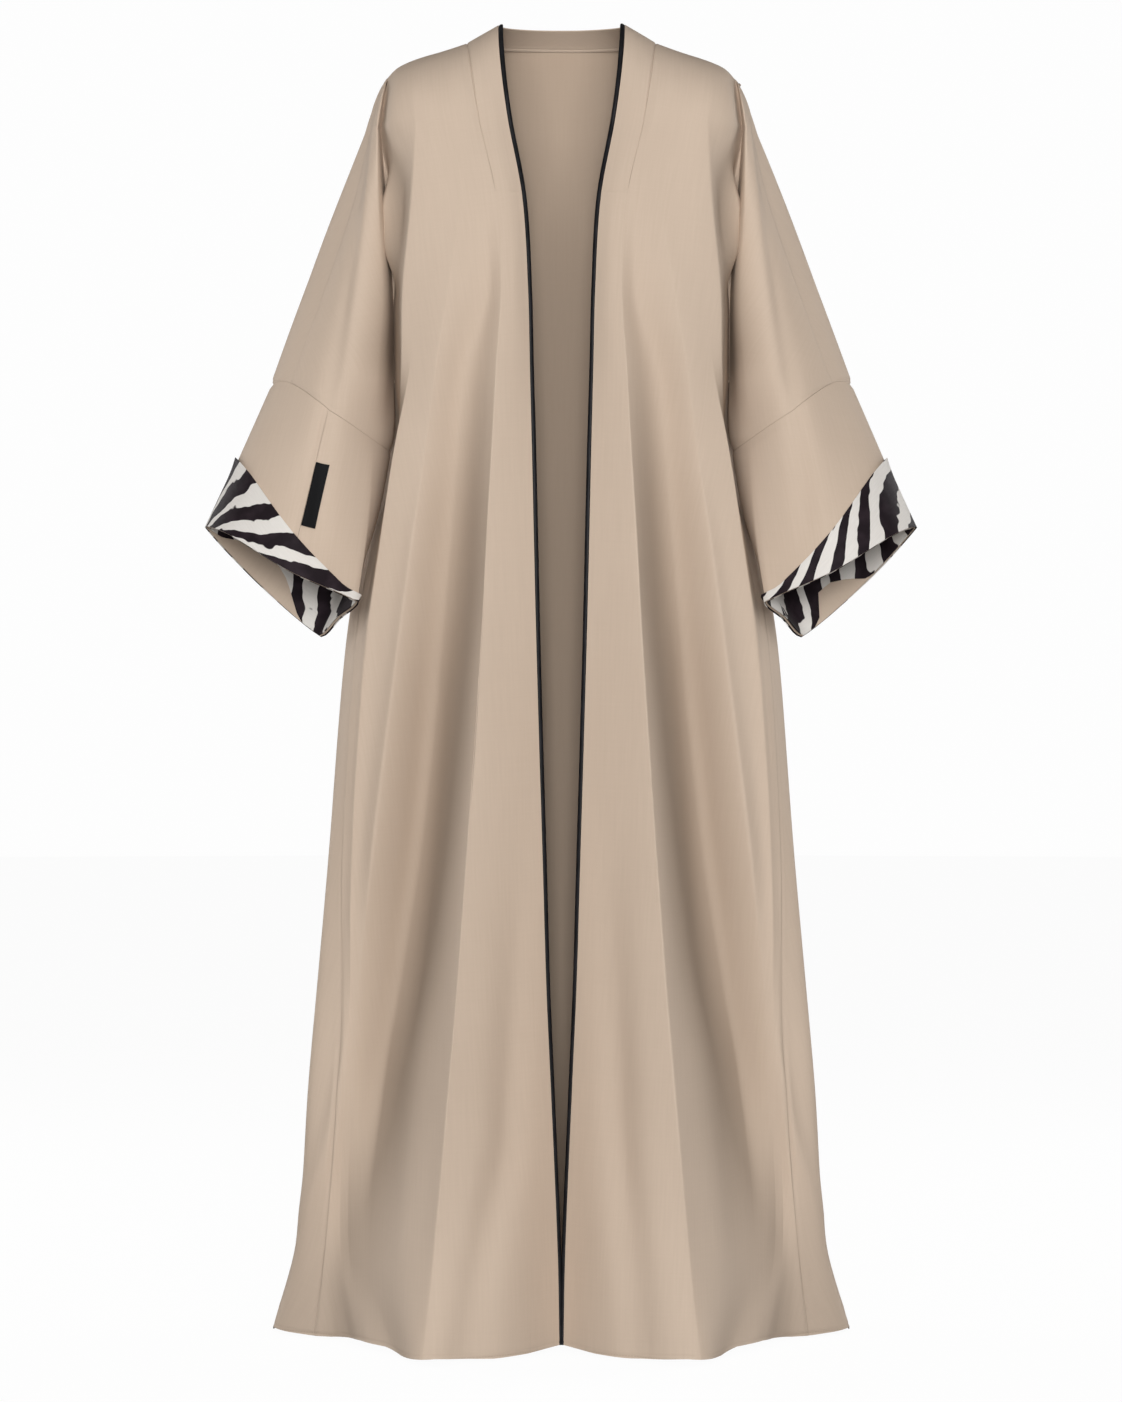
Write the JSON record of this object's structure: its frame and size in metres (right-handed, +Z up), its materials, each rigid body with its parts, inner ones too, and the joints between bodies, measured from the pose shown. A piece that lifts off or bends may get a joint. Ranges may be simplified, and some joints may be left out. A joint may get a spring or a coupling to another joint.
{
  "type": "open abaya cloak",
  "caption": "Full-length open front cloak with kimono sleeves, black piped opening and zebra-striped turned-back cuffs, in its worn hollow form.",
  "frame": {"origin": "middle plane, at the height of the neck points, where the cloak rests on the wearer's shoulders", "axes": "+Z up, -Y towards the open front, +X towards the wearer's left"},
  "size_m": [0.7704, 0.4275, 1.4359],
  "materials": {
    "crepe": "matte crepe with a faint satin sheen, taupe",
    "black_satin": "black satin piping",
    "zebra_satin": "satin printed with near-black zebra stripes on ivory",
    "black_ribbon": "plain black woven ribbon"
  },
  "bodies": {
    "root": {"back": "crepe", "front_left": "crepe", "front_right": "crepe", "neckband": "crepe", "front_band_left": "crepe", "front_band_right": "crepe", "lower_sleeve_left": "crepe", "lower_sleeve_right_front": "crepe", "lower_sleeve_right_back": "crepe", "piping_left": "black_satin", "piping_right": "black_satin", "cuff_left": "zebra_satin", "cuff_right": "zebra_satin", "cuff_facing_left": "zebra_satin", "cuff_facing_right": "zebra_satin", "sleeve_label": "black_ribbon"}
  },
  "joints": []
}
